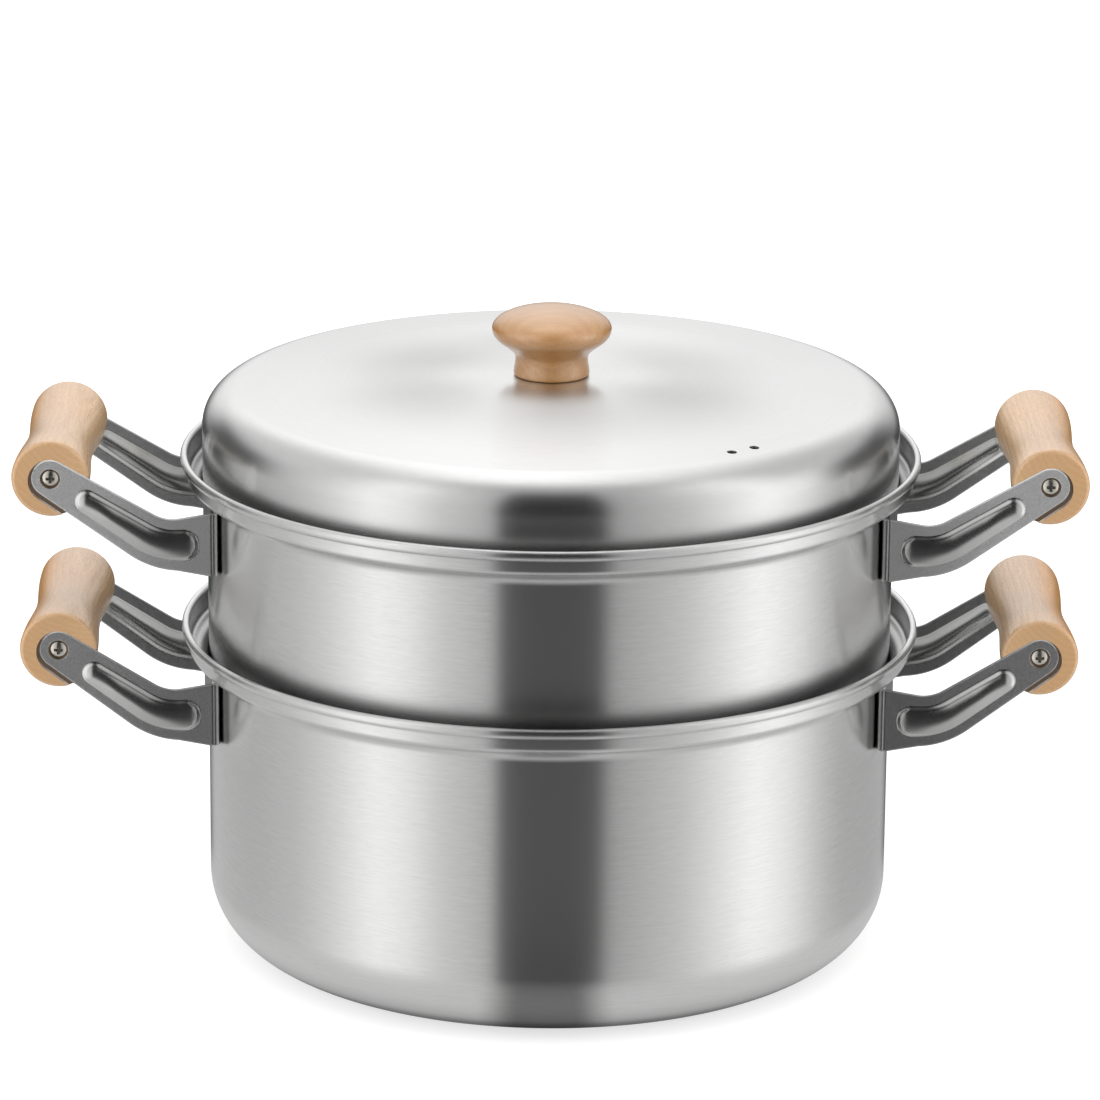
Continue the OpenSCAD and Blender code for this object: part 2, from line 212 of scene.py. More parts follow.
def tinted(tone, factor):
    return tuple(min(1.0, c * factor) for c in tone)


def brushed_steel(name, tone, rough, rough_middle, contrast=1.0, gap_shade=0.0):
    """Sheet brushed round the upright axis: fine lines run round the piece.

    The middle may be rougher, apart from right round the knob, and narrow gaps darker with painted shade.
    """
    material, net, shader = new_material(name)
    place = net.place()
    x, y, z = net.split(place)
    radius = net.math("SQRT", net.plus(net.times(x, x), net.times(y, y)))
    line = net.add("CombineXYZ")
    net.plug(line.inputs[0], net.times(x, 200.0))
    net.plug(line.inputs[1], net.times(y, 200.0))
    net.plug(line.inputs[2], net.times(net.plus(z, radius), 3200.0))
    fine = net.noise(line.outputs[0], 1.0, 2.0, 0.6)
    wide = net.noise(line.outputs[0], 0.3, 1.0, 0.5)
    cloud = net.noise(place, 18.0, 2.0, 0.5)
    shade = net.plus(net.times(fine, 0.75), net.times(wide, 0.25))
    dark, pale = tinted(tone, 1 - 0.06 * contrast), tinted(tone, 1 + 0.05 * contrast)
    colour = net.ramp(shade, [(0.25, dark), (0.75, pale)])
    colour = net.mix(net.step(cloud, 0.3, 0.7, 0.0, 0.04), colour, tinted(tone, 0.8))
    if gap_shade:
        # Painted shade: where ambient occlusion finds a narrow gap, the base colour turns dark
        gap = net.add("AmbientOcclusion", samples=8)
        gap.inputs["Distance"].default_value = 0.010
        narrow = net.step(gap.outputs["AO"], 0.30, 0.85, gap_shade, 0.0)
        colour = net.mix(narrow, colour, tinted(tone, 0.12))
    net.plug(shader.inputs["Base Color"], colour)
    round_knob = net.step(radius, 0.015, 0.050, rough, rough_middle)
    by_radius = net.step(radius, 0.055, 0.105, round_knob, rough)
    by_line = net.step(shade, 0.2, 0.8, 0.012 * contrast, -0.012 * contrast)
    net.plug(shader.inputs["Roughness"], net.plus(by_radius, by_line))
    shader.inputs["Metallic"].default_value = 1.0
    shader.inputs["Anisotropic"].default_value = 0.9
    shader.inputs["Anisotropic Rotation"].default_value = 0.25
    tangent = net.add("Tangent", direction_type="RADIAL", axis="Z")
    net.plug(shader.inputs["Tangent"], tangent.outputs[0])
    net.plug(shader.inputs["Normal"], net.bump(fine, 0.0000012))
    return material


def mill_steel(name, tone, rough, grain=1.0):
    """Rolled strip with a fine grey grain, darker towards its root by the pot's wall: painted shade."""
    material, net, shader = new_material(name)
    place = net.place()
    speck = net.noise(place, 2400.0, 2.0, 0.6)
    fleck = net.noise(place, 900.0, 3.0, 0.6)
    cloud = net.noise(place, 90.0, 3.0, 0.6)
    shade = net.plus(net.times(speck, 0.6), net.times(fleck, 0.4))
    dark, pale = tinted(tone, 1 - 0.2 * grain), tinted(tone, 1 + 0.15 * grain)
    colour = net.ramp(shade, [(0.34, dark), (0.66, pale)])
    colour = net.mix(net.step(cloud, 0.4, 0.75, 0.0, 0.12), colour, tinted(tone, 0.6))
    # Painted shade: the strip darkens towards the pot's wall, where its root is
    out = net.absolute(net.split(place)[0])
    colour = net.mix(net.step(out, 0.136, 0.176, 0.42, 0.0), colour, tinted(tone, 0.3))
    net.plug(shader.inputs["Base Color"], colour)
    roughness = net.step(fleck, 0.3, 0.7, rough - 0.03 * grain, rough + 0.04 * grain)
    net.plug(shader.inputs["Roughness"], roughness)
    shader.inputs["Metallic"].default_value = 1.0
    net.plug(shader.inputs["Normal"], net.bump(shade, 0.000006 * grain))
    return material


def plain_steel(name, tone, rough):
    """Small turned steel with a faint mottle."""
    material, net, shader = new_material(name)
    fleck = net.noise(net.place(), 900.0, 3.0, 0.6)
    net.plug(shader.inputs["Base Color"], net.ramp(fleck, [(0.3, tinted(tone, 0.85)), (0.7, tone)]))
    net.plug(shader.inputs["Roughness"], net.step(fleck, 0.3, 0.7, rough, rough + 0.08))
    shader.inputs["Metallic"].default_value = 1.0
    net.plug(shader.inputs["Normal"], net.bump(fleck, 0.000008))
    return material


def beech(name, axis, pith, shade_tint=(1.0, 1.0, 1.0), shaded_side=None, fleck_axis=None):
    """Oiled beech turned along one axis: soft rings round the pith, fibres and dark flecks.

    A shaded side is a distance in x past which the wood turns a deeper orange, painted shade on
    the outer flank, and how much. Wood that has one is also pale on the side towards the pot,
    painted light from the steel beside it, and muted in colour on its cut ends.
    """
    material, net, shader = new_material(name)
    place = net.place()
    along = [1.0 if i == axis else 0.0 for i in range(3)]

    def stretched(long, cross, way=axis):
        return net.scaled(place, [long if i == way else cross for i in range(3)])

    flat = net.add("VectorMath", operation="SUBTRACT")
    net.plug(flat.inputs[0], net.scaled(place, [1 - a for a in along]))
    flat.inputs[1].default_value = [p * (1 - a) for p, a in zip(pith, along)]
    wobble = net.noise(stretched(9, 40), 1.0, 3.0, 0.55)
    reach = net.plus(net.length(flat.outputs[0]), net.times(wobble, 0.007))
    ring = net.math("FRACT", net.times(reach, 420.0))
    ring = net.math("SUBTRACT", net.step(ring, 0.0, 0.8), net.step(ring, 0.84, 1.0))
    fibre = net.noise(stretched(40, 1700), 1.0, 4.0, 0.6)
    flecks = net.noise(stretched(420, 3000, axis if fleck_axis is None else fleck_axis), 1.0, 1.0, 0.5)
    cloud = net.noise(stretched(14, 70), 1.0, 3.0, 0.5)
    tones = ((0.64, 0.385, 0.180), (0.575, 0.320, 0.128), (0.460, 0.226, 0.078))
    # A shade tint darkens all tones of the wood: painted shade, on the knob and in the grips' recess
    light, base, deep = (tuple(c * t for c, t in zip(tone, shade_tint)) for tone in tones)
    colour = net.ramp(cloud, [(0.3, base), (0.72, light)])
    if shaded_side:
        start, share = shaded_side
        x, y = net.split(place)[:2]
        wave = net.times(net.noise(stretched(12, 60), 1.0, 2.0, 0.5), 0.008)
        out = net.plus(net.absolute(x), wave)
        # Painted shade: the outer flank turns a deeper orange
        colour = net.mix(net.step(out, start, start + 0.004, 0.0, share), colour, (0.72, 0.34, 0.07))
        # Painted light: the side towards the pot is paler, for the light the steel beside it throws
        colour = net.mix(net.step(out, 0.178, 0.189, 1.0, 0.0), colour, (0.88, 0.56, 0.28))
        end = net.step(net.absolute(y), 0.0432, 0.0444, 0.0, 0.85)
        colour = net.mix(end, colour, (0.53, 0.32, 0.145))
    colour = net.mix(net.step(fibre, 0.42, 0.74, 0.0, 0.42), colour, deep)
    colour = net.mix(net.times(ring, 0.3), colour, deep)
    colour = net.mix(net.step(flecks, 0.58, 0.68, 0.0, 0.42), colour, (0.22, 0.09, 0.03))
    net.plug(shader.inputs["Base Color"], colour)
    net.plug(shader.inputs["Roughness"], net.step(fibre, 0.3, 0.7, 0.30, 0.38))
    shader.inputs["IOR"].default_value = 2.25
    shader.inputs["Coat Weight"].default_value = 0.65
    shader.inputs["Coat Roughness"].default_value = 0.26
    height = net.math("SUBTRACT", fibre, net.times(flecks, 0.8))
    net.plug(shader.inputs["Normal"], net.bump(height, 0.00003))
    return material


def handle_materials():
    """The steel and the wood of the handles by name. Each strip's tone is painted light and shade,
    lighter on the upper handles than on the lower, and each wood has its own pith and painted shaded
    side.
    """
    # The arms' inner faces take a darker copy of the strip's steel: painted shade
    inner_shade_share = 0.62
    # Tone and roughness of the strip, its tone painted light and shade; pith and painted shaded side of
    # the wood
    looks = {
        "pot_left": (0.66, 0.42, (-0.17, 0, 0.17), (0.1935, 0.9)),
        "pot_right": (0.62, 0.38, (0.20, 0, 0.15), (0.191, 0.95)),
        "basket_left": (1.0, 0.48, (-0.17, 0, 0.22), (0.1985, 0.8)),
        "basket_right": (0.95, 0.52, (0.205, 0, 0.215), (0.1955, 0.7)),
    }
    skins = {
        # The dimples' steel is dark brown: painted reflection of the wood and painted shade in the hollow
        "dimple": plain_steel("dimple_painted_reflection_steel", (0.20, 0.14, 0.09), rough=0.45),
        # The recess is the beech at a quarter of its brightness: painted shade in the slot
        "recess": beech("shaded_beech_recess", axis=1, pith=(-0.17, 0, 0.17), shade_tint=(0.25, 0.25, 0.25)),
    }
    for key, (tone, rough, pith, shaded_side) in looks.items():
        shaded_tone = inner_shade_share * tone
        skins["bracket_" + key] = mill_steel("bracket_steel_" + key, (tone, tone, tone), rough)
        skins["bead_" + key] = mill_steel("bead_steel_" + key, (0.76, 0.76, 0.75), rough=0.22, grain=0.1)
        skins["inner_" + key] = mill_steel("shaded_inner_steel_" + key, (shaded_tone, shaded_tone, shaded_tone), rough=0.40)
        skins["grip_" + key] = beech("beech_" + key, axis=1, pith=pith, shaded_side=shaded_side)
    return skins


# Mesh tools

def mixed(a, b, share):
    return a + (b - a) * share


def smooth(t):
    return t * t * (3 - 2 * t)


def arc(x, y, r, a, b, steps):
    """Points round x and y, from angle a to angle b."""
    turns = [math.radians(a + (b - a) * i / steps) for i in range(steps + 1)]
    return [(x + r * math.cos(t), y + r * math.sin(t)) for t in turns]


def circle(sides):
    turns = [2 * math.pi * k / sides for k in range(sides)]
    return [(math.cos(t), math.sin(t)) for t in turns]


def smooth_line(points, steps):
    """A smooth curve through the points."""
    out = []
    n = len(points)
    for i in range(n - 1):
        p = [points[max(0, min(n - 1, i + k))] for k in (-1, 0, 1, 2)]
        for j in range(steps):
            t = j / steps
            out.append(tuple(
                0.5 * (2 * p[1][c] + (p[2][c] - p[0][c]) * t
                       + (2 * p[0][c] - 5 * p[1][c] + 4 * p[2][c] - p[3][c]) * t * t
                       + (3 * p[1][c] - p[0][c] - 3 * p[2][c] + p[3][c]) * t ** 3)
                for c in (0, 1)))
    return out + [points[-1]]


def mesh_object(name, verts, faces, weld=0.0, kinds=None):
    """A mesh from millimetres. Its faces look outwards, and kinds are their places in a material list."""
    mesh = bpy.data.meshes.new(name)
    mesh.from_pydata([tuple(c * MM for c in v) for v in verts], [], faces)
    if kinds:
        mesh.polygons.foreach_set("material_index", kinds)
    bm = bmesh.new()
    bm.from_mesh(mesh)
    if weld:
        bmesh.ops.remove_doubles(bm, verts=bm.verts, dist=weld * MM)
        bmesh.ops.dissolve_degenerate(bm, edges=bm.edges, dist=weld * MM)
    bmesh.ops.recalc_face_normals(bm, faces=bm.faces)
    bm.to_mesh(mesh)
    bm.free()
    obj = bpy.data.objects.new(name, mesh)
    scene.collection.objects.link(obj)
    return obj


def lathe(name, outline, sides=288):
    """Turns a closed half section round Z. A flat end at the axis becomes one face."""
    nothing = 1e-6
    verts, faces, rings = [], [], []
    for i, (r, z) in enumerate(outline):
        near = outline[1] if i == 0 else outline[i - 1]
        if r < nothing and abs(near[1] - z) < nothing:
            rings.append(None)
        elif r < nothing:
            rings.append([len(verts)])
            verts.append((0, 0, z))
        else:
            rings.append(list(range(len(verts), len(verts) + sides)))
            verts += [(r * x, r * y, z) for x, y in circle(sides)]
    for a, b in zip(rings, rings[1:]):
        if a is None or b is None:
            faces.append(tuple(a or b))
            continue
        for k in range(sides):
            n = (k + 1) % sides
            quad = [a[k % len(a)], a[n % len(a)], b[n % len(b)], b[k % len(b)]]
            faces.append(tuple(dict.fromkeys(quad)))
    return mesh_object(name, verts, faces)


def pin(name, r, low, high, sides):
    return lathe(name, [(0, low), (r, low), (r, high), (0, high)], sides)


def prism(name, outline, low, high):
    """A closed outline in x and z, from y low to y high."""
    n = len(outline)
    verts = [(x, low, z) for x, z in outline] + [(x, high, z) for x, z in outline]
    faces = [tuple(range(n)), tuple(range(2 * n - 1, n - 1, -1))]
    faces += [(i, (i + 1) % n, n + (i + 1) % n, n + i) for i in range(n)]
    return mesh_object(name, verts, faces)


def cut(obj, tools):
    """Takes the tools out of the object and deletes them."""
    for tool in tools:
        cutter = obj.modifiers.new("cut", "BOOLEAN")
        cutter.operation, cutter.solver, cutter.object = "DIFFERENCE", "EXACT", tool
    graph = bpy.context.evaluated_depsgraph_get()
    mesh = bpy.data.meshes.new_from_object(obj.evaluated_get(graph))
    obj.modifiers.clear()
    obj.data = mesh
    for tool in tools:
        bpy.data.objects.remove(tool)
    return obj


def moved(obj, turn=0.0, shift=(0, 0, 0), axis="Z"):
    """Turns a mesh round an axis of the frame, then shifts it."""
    obj.data.transform(Matrix.Translation(Vector(shift) * MM) @ Matrix.Rotation(turn, 4, axis))
    return obj


def dress(obj, material, body, node, sharp=38.0):
    """Shades a finished piece, gives it its material if it has none and puts it in the node's place."""
    mesh = obj.data
    if not mesh.materials:
        mesh.materials.append(material)
    mesh.polygons.foreach_set("use_smooth", [True] * len(mesh.polygons))
    mesh.set_sharp_from_angle(angle=math.radians(sharp))
    normals = obj.modifiers.new("even_normals", "WEIGHTED_NORMAL")
    normals.keep_sharp = True
    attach(obj, body)
    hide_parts(node)


# Shells

def shell_outline(h):
    """The sheet of the pot or basket: base, corner, wall, ledge, collar and rolled rim at height h."""
    wall_in = BODY_R - SHEET
    ledge_x = wall_in + LEDGE_R
    collar_in = wall_in + COLLAR_STEP
    fillet = COLLAR_STEP - LEDGE_R
    foot, crest = h - LEDGE_DROP - LEDGE_R, h - LEDGE_DROP
    end = -math.degrees(math.acos((SHEET - CURL_R) / CURL_R))
    flat = BODY_R - CORNER
    top = h + CURL_R
    curl = arc(collar_in + CURL_R, h, CURL_R, end, 180, 22)
    return (
        [(0, 0)]
        + arc(flat, CORNER, CORNER, -90, 0, 24)
        + arc(ledge_x, foot, LEDGE_R - SHEET, 180, 90, 10)
        + arc(ledge_x, crest + fillet, fillet + SHEET, -90, 0, 7)
        + [(x, top - (top - z) * CURL_TALL) for x, z in curl]
        + arc(ledge_x, crest + fillet, fillet, 0, -90, 7)
        + arc(ledge_x, foot, LEDGE_R, 90, 180, 12)
        + arc(flat, CORNER, CORNER - SHEET, 0, -90, 24)
        + [(0, SHEET)]
    )


def steam_holes():
    """One object of all the pins that cut the basket's base, the first of them in the middle."""
    sides = 32
    verts, faces = [], []
    for ring in range(HOLE_RINGS + 1):
        count = max(1, 6 * ring)
        for i in range(count):
            turn = 2 * math.pi * i / count
            x, y = HOLE_STEP * ring * math.cos(turn), HOLE_STEP * ring * math.sin(turn)
            low = len(verts)
            high = low + sides
            for z in (-SPARE, SHEET + SPARE):
                verts += [(x + HOLE_R * cos, y + HOLE_R * sin, z) for cos, sin in circle(sides)]
            faces.append(tuple(range(high - 1, low - 1, -1)))
            faces.append(tuple(range(high, high + sides)))
            for k in range(sides):
                n = (k + 1) % sides
                faces.append((low + k, low + n, high + n, high + k))
    return mesh_object("steam_hole_pins", verts, faces)


def lid_outline():
    """The sheet of the lid: dome, shoulder, skirt and its rounded edge."""
    tilt = math.degrees(math.asin((LID_R - SHOULDER_R) / (DOME_R - SHOULDER_R)))
    lean, middle, x = 90 - tilt, CROWN_Z - DOME_R, LID_R - SHOULDER_R
    edge = SHEET / 2
    return (
        arc(0, middle, DOME_R, 90, lean, 18)
        + arc(x, SHOULDER_Z, SHOULDER_R, lean, 0, 26)[1:]
        + arc(LID_R - edge, LID_Z + edge, edge, 0, -180, 8)
        + arc(x, SHOULDER_Z, SHOULDER_R - SHEET, 0, lean, 20)
        + arc(0, middle, DOME_R - SHEET, lean, 90, 18)[1:]
    )


def make_lid(material):
    vent_tall, hole_tall, hole_deep = 30, 5, 3
    lid = lathe("lid_skin", lid_outline())
    tools = []
    for spread in (-1, 1):
        turn = math.radians(VENT_SIDE + spread * VENT_APART / 2)
        x, y = VENT_REACH * math.cos(turn), VENT_REACH * math.sin(turn)
        tools.append(moved(pin("vent_pin", VENT_R, 0, vent_tall, sides=40), shift=(x, y, SHOULDER_Z)))
    hole = pin("screw_pin", KNOB_HOLE_R, 0, hole_tall, sides=40)
    tools.append(moved(hole, shift=(0, 0, CROWN_Z - hole_deep)))
    cut(lid, tools)
    dress(lid, material, "lid", "lid_shell")


def make_knob(material):
    side = [(13.9, 0), (14.35, 0.5), (14.4, 1.4), (14.15, 3.2), (13.85, 5.2), (13.85, 7.0), (14.4, 8.5),
            (15.85, 10.0), (17.85, 11.6), (19.95, 13.1), (21.55, 14.7), (22.45, 16.3),
            (KNOB_R, KNOB_WIDEST_Z)]
    turns = [math.radians(t) for t in range(4, 90, 4)]
    crown = [(KNOB_R * math.cos(t), KNOB_WIDEST_Z + KNOB_CROWN * math.sin(t)) for t in turns]
    top = [(0, KNOB_WIDEST_Z + KNOB_CROWN)]
    knob = lathe("knob_skin", [(0, 0)] + smooth_line(side, 4) + crown + top, sides=160)
    cut(knob, [pin("knob_bore", KNOB_BORE_R, -SPARE, KNOB_BORE_DEPTH, sides=48)])
    dress(moved(knob, shift=(0, 0, KNOB_Z)), material, "lid", "lid_knob")


# Handles

def arm_slope(reach):
    """The slope of an arm's straight stretch, from the knee up to the middle of its round end."""
    dx, dz = reach - KNEE_X, ROOT_DROP - KNEE_R
    run = math.sqrt(dx * dx + dz * dz - KNEE_R * KNEE_R)
    return math.atan2(dz, dx) + math.atan2(KNEE_R, run)


def arm_stations(reach):
    """Stations along an arm from the bend to the middle of its round end: x, z, slope, half height."""
    level_steps, knee_steps, spacing = 30, 34, 0.45
    slope = arm_slope(reach)
    out = []
    for i in range(level_steps):
        t = i / level_steps
        out.append((mixed(BEND_X, KNEE_X, t), -ROOT_DROP, 0.0, mixed(ROOT_H / 2, KNEE_H, t)))
    for i in range(knee_steps + 1):
        t = slope * i / knee_steps
        x, z = KNEE_X + KNEE_R * math.sin(t), KNEE_R * (1 - math.cos(t)) - ROOT_DROP
        out.append((x, z, t, mixed(KNEE_H, KNEE_END_H, i / knee_steps)))
    knee_x, knee_z = out[-1][:2]
    count = round(math.hypot(reach - knee_x, knee_z) / spacing)
    for i in range(1, count + 1):
        t = i / count
        out.append((mixed(knee_x, reach, t), knee_z * (1 - t), slope, mixed(KNEE_END_H, TIP_R, t)))
    return out


def bead_shape(stations):
    """For each station: how far past either end of the bead, the bead's half height and its crown."""
    runs = [0.0]
    for a, b in zip(stations, stations[1:]):
        runs.append(runs[-1] + math.hypot(b[0] - a[0], b[1] - a[1]))
    start, stop = BEAD_X - BEND_X, runs[-1] - BEAD_GAP
    out = []
    for run in runs:
        share = min(1, max(0, (run - start) / (stop - start)))
        past = max(start - run, run - stop, 0)
        deep = min(1, max(0, min(run - start, stop - run) / CROWN_RUN))
        crown = BEAD_CROWN * mixed(CROWN_END, 1, smooth(deep))
        out.append((past, mixed(BEAD_ROOT_H, BEAD_TIP_H, share), crown))
    return out


def bead_height(n, bead, inset=0.0):
    """How far the bead stands out at height n of a station."""
    past, half, crown = bead
    away = math.hypot(n, past)
    inside = half - inset - away
    if inside <= 0:
        return 0.0
    top = max(0.0, 1 - (away / (half - inset - BEAD_FLANK)) ** 2)
    return BEAD_RISE * smooth(min(1, inside / BEAD_FLANK)) + crown * top


def row_heights(half, bead_half):
    """Heights of the rows across a station, closer together where the bead's side slopes."""
    outside, slope_width, slope_rows = 0.25, 2.9, 10
    edge = min(bead_half + outside, half * 0.93)
    foot = max(edge - slope_width, edge * 0.3)
    up = [half, half - min(0.35, half * 0.05), (half + edge) / 2, edge]
    up += [mixed(edge, foot, i / slope_rows) for i in range(1, slope_rows + 1)]
    up += [foot * 0.7, foot * 0.35]
    return [-v for v in up] + [0.0] + up[::-1]


def bracket_mesh(name, reach):
    """The strip as one closed skin of loops: outer face, rim, inner face, rim.

    Each face is marked as plain, pressed or inner.
    """
    stations = arm_stations(reach)
    beads = bead_shape(stations)
    tip_x, tip_z, slope = stations[-1][:3]

    def arm_loop(rim, face, tilt, rim_half, face_half, bead, side):
        """A loop across an arm, from the middles of its rim and its faces in x and z."""
        rows = row_heights(face_half, bead[1])

        def at(middle, n, y):
            return middle[0] - n * math.sin(tilt), side * y, middle[1] + n * math.cos(tilt)

        outer = [at(face, n, ARM_OUT_Y + bead_height(n, bead)) for n in rows]
        inner = [at(face, n, ARM_IN_Y + bead_height(n, bead, BEAD_INSET)) for n in reversed(rows)]
        top = [at(rim, rim_half, ARM_OUT_Y - EDGE), at(rim, rim_half, ARM_IN_Y + EDGE)]
        low = [at(rim, -rim_half, ARM_IN_Y + EDGE), at(rim, -rim_half, ARM_OUT_Y - EDGE)]
        return outer + top + inner + low

    def root_loop(outer, inner, side):
        """A loop across the root or the bend, from its places on both faces in x and y."""
        half, share = ROOT_H / 2, EDGE / PLATE
        rows = row_heights(half - EDGE, BEAD_ROOT_H)
        rim_out = [mixed(a, b, share) for a, b in zip(outer, inner)]
        rim_in = [mixed(a, b, share) for a, b in zip(inner, outer)]

        def at(place, n):
            return place[0], side * place[1], n - ROOT_DROP

        return (
            [at(outer, n) for n in rows]
            + [at(rim_out, half), at(rim_in, half)]
            + [at(inner, n) for n in reversed(rows)]
            + [at(rim_in, -half), at(rim_out, -half)]
        )

    def around(r, turn, x=0.0, y=0.0):
        return x + r * math.cos(turn), y + r * math.sin(turn)

    def one_side(side):
        """The loops from beside the root's middle to the end of one arm."""
        web_steps, bend_steps, cap_steps = 14, 10, 14
        part = []
        for i in range(1, web_steps):
            turn = BEND_TURN * i / web_steps
            part.append(root_loop(around(WEB_IN, turn), around(WEB_OUT, turn), side))
        for i in range(bend_steps + 1):
            turn = mixed(math.pi + BEND_TURN, math.pi / 2, i / bend_steps)
            outer = around(BEND_IN + PLATE, turn, BEND_X, BEND_Y)
            part.append(root_loop(outer, around(BEND_IN, turn, BEND_X, BEND_Y), side))
        for (x, z, tilt, half), bead in list(zip(stations, beads))[1:]:
            part.append(arm_loop((x, z), (x, z), tilt, half, half - EDGE, bead, side))
        for i in range(1, cap_steps + 1):
            rim_x, rim_half = around(TIP_R, math.pi / 2 * (1 - i / cap_steps))
            face_x, face_half = around(TIP_R - EDGE, math.pi / 2 * (1 - i / cap_steps))
            rim = around(rim_x, slope, tip_x, tip_z)
            face = around(face_x, slope, tip_x, tip_z)
            past, bead_half, crown = beads[-1]
            bead = (past + face_x, bead_half, crown)
            part.append(arm_loop(rim, face, slope, rim_half, face_half, bead, side))
        return part

    middle = root_loop((WEB_IN, 0), (WEB_OUT, 0), 1)
    loops = one_side(-1)[::-1] + [middle] + one_side(1)
    # All loops name their corners in the same order, so neighbours join corner to corner
    size = len(middle)
    rows = size // 2 - 2
    verts = [v for loop in loops for v in loop]
    faces, kinds = [], []
    for k in range(len(loops) - 1):
        for i in range(size):
            j = (i + 1) % size
            face = (k * size + i, k * size + j, (k + 1) * size + j, (k + 1) * size + i)
            outside = i < rows
            rim = not outside and not rows + 2 <= i < size - 2
            level = ARM_OUT_Y if outside else ARM_IN_Y
            raised = any(abs(verts[v][1]) > level + LEAST_RISE for v in face) and not rim
            turned = any(verts[v][0] < BEND_X for v in face)
            faces.append(face)
            kinds.append(PRESSED if raised or turned else PLAIN if outside else INNER)
    return mesh_object(name, verts, faces, weld=0.004, kinds=kinds)


def dimple_tools(reach):
    """Pins that cut a countersunk dimple into the round end of each arm."""
    tools = []
    foot = DIMPLE_R - PLATE
    section = [(0, -SPARE), (DIMPLE_R, -SPARE), (DIMPLE_R, 0), (foot, PLATE)]
    section += [(foot, PLATE + SPARE), (0, PLATE + SPARE)]
    for side in (-1, 1):
        tool = lathe("dimple_pin", section, sides=56)
        # The pin points from the outer face inwards
        moved(tool, turn=math.radians(90 * side), axis="X")
        tools.append(moved(tool, shift=(reach, side * ARM_OUT_Y, 0)))
    return tools


def grip_outline():
    """A half section of the grip along its own axis: a waisted dowel with rounded ends."""
    half = GRIP_LEN / 2
    widest = half - GRIP_EDGE
    steps = 24
    flank = []
    for i in range(1 - steps, steps):
        swell = math.sin(math.pi / 2 * (abs(i) / steps)) ** 2
        flank.append((mixed(GRIP_WAIST_R, GRIP_END_R, swell), widest * i / steps))
    return (
        [(0, -half)]
        + arc(GRIP_END_R - GRIP_EDGE, -widest, GRIP_EDGE, -90, 0, 7)
        + flank
        + arc(GRIP_END_R - GRIP_EDGE, widest, GRIP_EDGE, 0, 90, 7)
        + [(0, half)]
    )


def slot_outline(reach):
    """The outline of an arm in x and z with room round it, for the slot in the end of a grip."""
    every, apart, sweep = 3, 0.5, 84
    stations = arm_stations(reach)
    last = stations[-1]
    between = [s for s in stations if KNEE_X < s[0] < last[0] - apart]
    line = stations[:1] + between[::every] + [last]

    def beside(way):
        return [(x - way * (h + SLOT_GAP) * math.sin(t), z + way * (h + SLOT_GAP) * math.cos(t))
                for x, z, t, h in line]

    turn = math.degrees(last[2])
    end = arc(last[0], last[1], last[3] + SLOT_GAP, turn - sweep, turn + sweep, 28)
    return [(x, z - SLOT_SINK) for x, z in beside(-1) + end + beside(1)[::-1]]


def make_bracket(tier, side, skins):
    reach = REACH[tier]
    turn = math.pi if side == "left" else 0.0
    bracket = bracket_mesh(f"{tier}_bracket_{side}_skin", reach)
    for key in (f"bracket_{tier}_{side}", "dimple", f"bead_{tier}_{side}", f"inner_{tier}_{side}"):
        bracket.data.materials.append(skins[key])
    cut(bracket, dimple_tools(reach))
    # Faces in the dimple take the brown steel: painted reflection and shade
    for face in bracket.data.polygons:
        x, y, z = (c / MM for c in face.center)
        if math.hypot(x - reach, z) < DIMPLE_R and abs(y) < ARM_OUT_Y - SLIGHT:
            face.material_index = HOLLOW
    moved(bracket, turn=turn, shift=(0, 0, RIM[tier]))
    dress(bracket, None, tier, f"{tier}_bracket_{side}", sharp=50.0)


def make_grip(tier, side, skins):
    reach = REACH[tier]
    turn = math.pi if side == "left" else 0.0
    half = GRIP_LEN / 2
    grip = lathe(f"{tier}_grip_{side}_skin", grip_outline(), sides=144)
    moved(grip, turn=math.pi / 2, axis="X", shift=(reach, 0, 0))
    outline = slot_outline(reach)
    deep, clear = half - SLOT_DEPTH, half + SPARE
    tools = [prism("slot", outline, deep, clear), prism("slot", outline, -clear, -deep)]
    bore = pin("bore", SLEEVE_BORE_R, -clear, clear, sides=48)
    tools.append(moved(bore, turn=math.pi / 2, axis="X", shift=(reach, 0, 0)))
    for key in (f"grip_{tier}_{side}", "recess"):
        grip.data.materials.append(skins[key])
    cut(grip, tools)
    # Faces in the slot take the dark recess beech: painted shade
    face_r = GRIP_END_R - GRIP_EDGE - 2 * SLIGHT
    for face in grip.data.polygons:
        x, y, z = (c / MM for c in face.center)
        depth = half - abs(y)
        if SLIGHT < depth < SLOT_DEPTH + 2 * SLIGHT and math.hypot(x - reach, z) < face_r:
            face.material_index = RECESS
    moved(grip, turn=turn, shift=(0, 0, RIM[tier]))
    dress(grip, None, tier, f"{tier}_grip_{side}")
    # The photo's steel shows no grips, only the plain room
    grip.visible_glossy = False


# Studio

